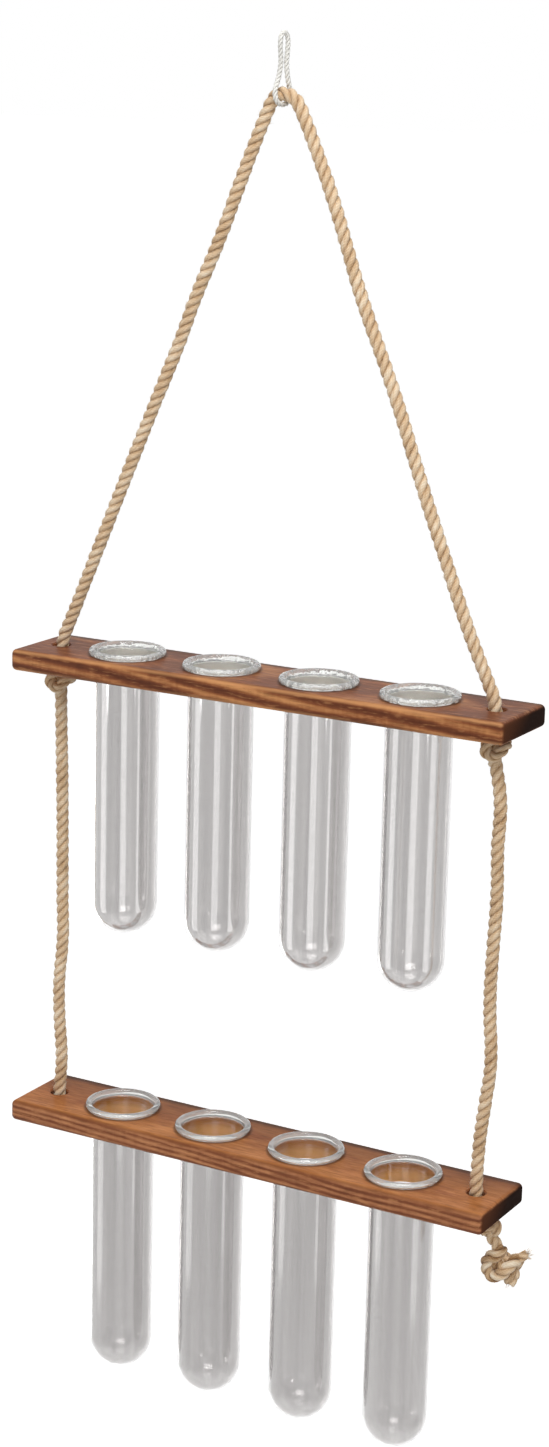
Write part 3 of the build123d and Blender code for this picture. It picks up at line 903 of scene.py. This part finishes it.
def tube_outline(bottom, top):
    """The tube's half section: its outside up to the rim, its inside back down, and the rim's seat."""
    bore = TUBE_RADIUS - TUBE_WALL
    round_z = bottom + TUBE_RADIUS
    body_z = round_z + DOME_CLEARANCE
    seat = top - 2 * BEAD_RADIUS
    bead = RIM_RADIUS - BEAD_RADIUS
    grey_top = seat - SLEEVE - FADE
    outside = arc((0.0, round_z), TUBE_RADIUS, -90, 0, OUTER_DOME_ROWS)
    outside += wall_rows(TUBE_RADIUS, body_z, grey_top, BODY_ROWS)
    outside += wall_rows(TUBE_RADIUS, grey_top, seat - SLEEVE, FADE_ROWS)[1:]
    outside.append((TUBE_RADIUS, seat - SLEEVE + SLEEVE_STEP))
    outside += [(TUBE_RADIUS + out * MM, seat + rise * MM) for out, rise in FILLET]
    outside += arc((bead, seat + BEAD_RADIUS), BEAD_RADIUS, -90, 90, OUTER_BEAD_ROWS)
    inside = arc((bead, seat + BEAD_RADIUS), BEAD_RADIUS, 100, 180, INNER_BEAD_ROWS)
    for share, fall in FLARE:
        inside.append((bore + share * (bead - BEAD_RADIUS - bore), seat + BEAD_RADIUS - fall * MM))
    inside += wall_rows(bore, seat - SLEEVE, grey_top, FADE_ROWS)[:-1]
    inside += wall_rows(bore, grey_top, body_z, BODY_ROWS)
    inside += arc((0.0, round_z), bore, 0, -90, INNER_DOME_ROWS)
    return outside, inside, seat


def clamped(value):
    return min(1.0, max(0.0, value))


def glass_tube(node, material):
    """One tube turned from its outline, with a gently waved rim."""
    low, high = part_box(node)
    x, y = (low.x + high.x) / 2, (low.y + high.y) / 2
    outside, inside, seat = tube_outline(low.z, high.z)
    phase = dice.uniform(0, RIPPLE_PHASE_MOST)
    shape = Shape()
    points, parts = [], []
    rows = [(*place, PART_OUTSIDE) for place in outside[1:]] + [(*place, 0.0) for place in inside[:-1]]
    for radius, z, side in rows:
        above = clamped((z - seat + RIPPLE_START) / RIPPLE_FADE)
        mouth = PART_MOUTH * clamped((z - seat + SLEEVE + FADE) / FADE)
        for segment in range(TUBE_SEGMENTS):
            turn = 2 * math.pi * segment / TUBE_SEGMENTS
            ripple = math.sin(2 * turn + phase) + math.sin(5 * turn + 2 * phase) * FINE_RIPPLE_SHARE
            swell = radius + above * RIPPLE * (ripple - 1 - FINE_RIPPLE_SHARE)
            points.append((x + swell * math.cos(turn), y + swell * math.sin(turn), z))
            parts.append(max(mouth, side) + (PART_RIM - PART_MOUTH) * above)
    outer_pole = len(points)
    points.append((x, y, outside[0][1]))
    inner_pole = len(points)
    points.append((x, y, inside[-1][1]))
    parts += [PART_OUTSIDE, 0.0]
    last = (len(rows) - 1) * TUBE_SEGMENTS
    faces = []
    for start in range(0, last, TUBE_SEGMENTS):
        for segment in range(TUBE_SEGMENTS):
            following = (segment + 1) % TUBE_SEGMENTS
            over = start + TUBE_SEGMENTS
            faces.append((start + segment, start + following, over + following, over + segment))
    for segment in range(TUBE_SEGMENTS):
        following = (segment + 1) % TUBE_SEGMENTS
        faces.append((outer_pole, following, segment))
        faces.append((inner_pole, last + segment, last + following))
    shape.add(points, faces, [(0.0, 0.0)] * sum(map(len, faces)), parts)
    piece = shape.mesh(node + "_glass", material, "part")
    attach(piece, node)
    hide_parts(node)


# The bore's grey is painted shade, set deeper on the lower tier than on the upper
UPPER_GLASS = {"deep": (0.325, 0.314, 0.311), "pale": (0.473, 0.458, 0.454), "shine": 1.0,
               "dent_share": 0.7}
LOWER_GLASS = {"deep": (0.299, 0.288, 0.285), "pale": (0.412, 0.399, 0.396), "shine": 0.3,
               "dent_share": 0.1}
for tier, look in (("upper", UPPER_GLASS), ("lower", LOWER_GLASS)):
    dome_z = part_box(f"{tier}_tube_1")[0].z + TUBE_RADIUS
    tier_glass = glass(f"{tier}_tube_glass", dome_z, **look)
    for index in range(1, 5):
        glass_tube(f"{tier}_tube_{index}", tier_glass)

UPPER_TONES = [(0.14, (0.085, 0.024, 0.011)), (0.40, (0.145, 0.044, 0.019)),
               (0.62, (0.26, 0.088, 0.034)), (0.90, (0.56, 0.26, 0.100))]
LOWER_TONES = [(0.14, (0.11, 0.032, 0.015)), (0.40, (0.22, 0.075, 0.034)),
               (0.62, (0.36, 0.145, 0.066)), (0.90, (0.52, 0.24, 0.11))]
# The top tones are partly painted shading by face: darker on the upper bar's top, lighter on the lower
# bar's top
UPPER_LOOK = {"tones": UPPER_TONES, "edge_tone": (0.66, 0.33, 0.14), "edge_share": 0.65,
              "top_shading_tones": ((0.15, 0.050, 0.022), (0.25, 0.087, 0.038)), "top_shading_share": 0.40,
              "rear_share": 0.0, "hole_light_and_shade_tones": ((0.90, 0.86, 0.80), (0.90, 0.86, 0.80)),
              "offset": (3.1, 0.7, 1.9), "ring_scale": 56.0, "ring_share": 0.52, "drift": 0.075}
# Hole tones of the lower bar: bright amber as painted light and a darker tone as painted shadow under the
# rim; the upper bar's whitish hole tone is a painted highlight
LOWER_LOOK = {"tones": LOWER_TONES, "edge_tone": (0.20, 0.070, 0.028), "edge_share": 0.8,
              "top_shading_tones": ((0.35, 0.108, 0.030), (0.60, 0.232, 0.064)), "top_shading_share": 0.66,
              "rear_share": 0.55, "hole_light_and_shade_tones": ((1.0, 0.47, 0.135), (0.52, 0.180, 0.048)),
              "offset": (8.4, 2.2, 5.3), "ring_scale": 118.0, "ring_share": 0.36, "drift": 0.030}
for node, look in (("upper_bar", UPPER_LOOK), ("lower_bar", LOWER_LOOK)):
    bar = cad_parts[node]
    bar.data.materials.clear()
    bar.data.materials.append(wood(node + "_wood", node, **look))

# Stage: a pale floor, a white surround and soft lamps
FLOOR_Z = -1.30
FLOOR_REACH = 40.0
FLOOR_GLOW = 0.82
# The surround's strength as a light, and as it is seen, mirrored and shown through glass
WORLD_LIGHT = 0.24
WORLD_SEEN = 1.0
# Lamps: place, height aimed at on the object's axis, width and height of the face, radiance, then the
# spread in degrees and whether glass shows the lamp, where these aren't the usual ones
LAMPS = {
    "left_softbox": ((-1.16, -0.72, -0.81), -0.36, 0.60, 0.72, 1.8),
    "front_softbox": ((0.55, -1.51, -0.81), -0.36, 0.60, 0.72, 1.8),
    "right_softbox": ((1.38, -0.23, -0.81), -0.36, 0.48, 0.72, 1.8),
    "left_window": ((-0.91, -0.93, -0.48), -0.45, 0.16, 0.22, 11.0),
    "right_window": ((1.11, -0.68, -0.48), -0.45, 0.14, 0.22, 11.0),
    "key_softbox": ((0.50, -0.90, 0.78), -0.40, 0.90, 0.60, 8.6),
    "top_softbox": ((0.05, -0.20, 0.95), -0.40, 0.60, 0.50, 4.6),
    "rear_left_window": ((-1.15, 0.60, -0.80), -0.50, 0.16, 0.80, 7.0),
    "rear_softbox": ((-0.50, 1.35, -0.38), -0.38, 1.00, 0.80, 1.3, 70, False),
}


def lit_rays(tree):
    """One for camera, glossy and transmission rays, else nothing."""
    path = tree.nodes.new("ShaderNodeLightPath")
    most = path.outputs["Is Camera Ray"]
    for name in ("Is Glossy Ray", "Is Transmission Ray"):
        larger = tree.nodes.new("ShaderNodeMath")
        larger.operation = "MAXIMUM"
        tree.links.new(most, larger.inputs[0])
        tree.links.new(path.outputs[name], larger.inputs[1])
        most = larger.outputs[0]
    return most


def make_floor():
    """A wide pale floor that keeps the object's shadow."""
    data = bpy.data.meshes.new("floor")
    corners = [(FLOOR_REACH * side, FLOOR_REACH * depth, FLOOR_Z)
               for side, depth in ((-1, -1), (1, -1), (1, 1), (-1, 1))]
    data.from_pydata(corners, [], [(0, 1, 2, 3)])
    floor = bpy.data.objects.new("floor", data)
    bpy.context.scene.collection.objects.link(floor)
    graph = Graph("floor_paper")
    shown = lit_rays(graph.tree)
    graph.set(Base_Color=(0.82, 0.82, 0.82, 1.0), Roughness=0.9, Specular_IOR_Level=0.1,
              Emission_Color=(1.0, 1.0, 1.0, 1.0), Emission_Strength=graph.times(shown, FLOOR_GLOW))
    data.materials.append(graph.material)


def make_world():
    """A white surround that lights the object only a little."""
    world = bpy.data.worlds.new("studio")
    world.use_nodes = True
    tree = world.node_tree
    background = tree.nodes["Background"]
    background.inputs["Color"].default_value = (1.0, 1.0, 1.0, 1.0)
    strength = tree.nodes.new("ShaderNodeMapRange")
    tree.links.new(lit_rays(tree), strength.inputs["Value"])
    strength.inputs["To Min"].default_value = WORLD_LIGHT
    strength.inputs["To Max"].default_value = WORLD_SEEN
    tree.links.new(strength.outputs["Result"], background.inputs["Strength"])
    bpy.context.scene.world = world


def make_lamp(name, place, target_z, width, height, radiance, spread=180, mirrored=True):
    """A soft rectangular lamp; its power follows from the brightness of its face."""
    data = bpy.data.lights.new(name, "AREA")
    data.shape = "RECTANGLE"
    data.size = width
    data.size_y = height
    data.energy = radiance * math.pi * width * height
    data.spread = math.radians(spread)
    lamp = bpy.data.objects.new(name, data)
    lamp.location = place
    aim = Vector((0.0, 0.0, target_z)) - Vector(place)
    lamp.rotation_euler = aim.to_track_quat("-Z", "Y").to_euler()
    lamp.visible_camera = False
    lamp.visible_transmission = mirrored
    lamp.visible_glossy = mirrored
    bpy.context.scene.collection.objects.link(lamp)


make_floor()
make_world()
for lamp_name, lamp_look in LAMPS.items():
    make_lamp(lamp_name, *lamp_look)

bpy.context.scene.view_settings.view_transform = "Standard"
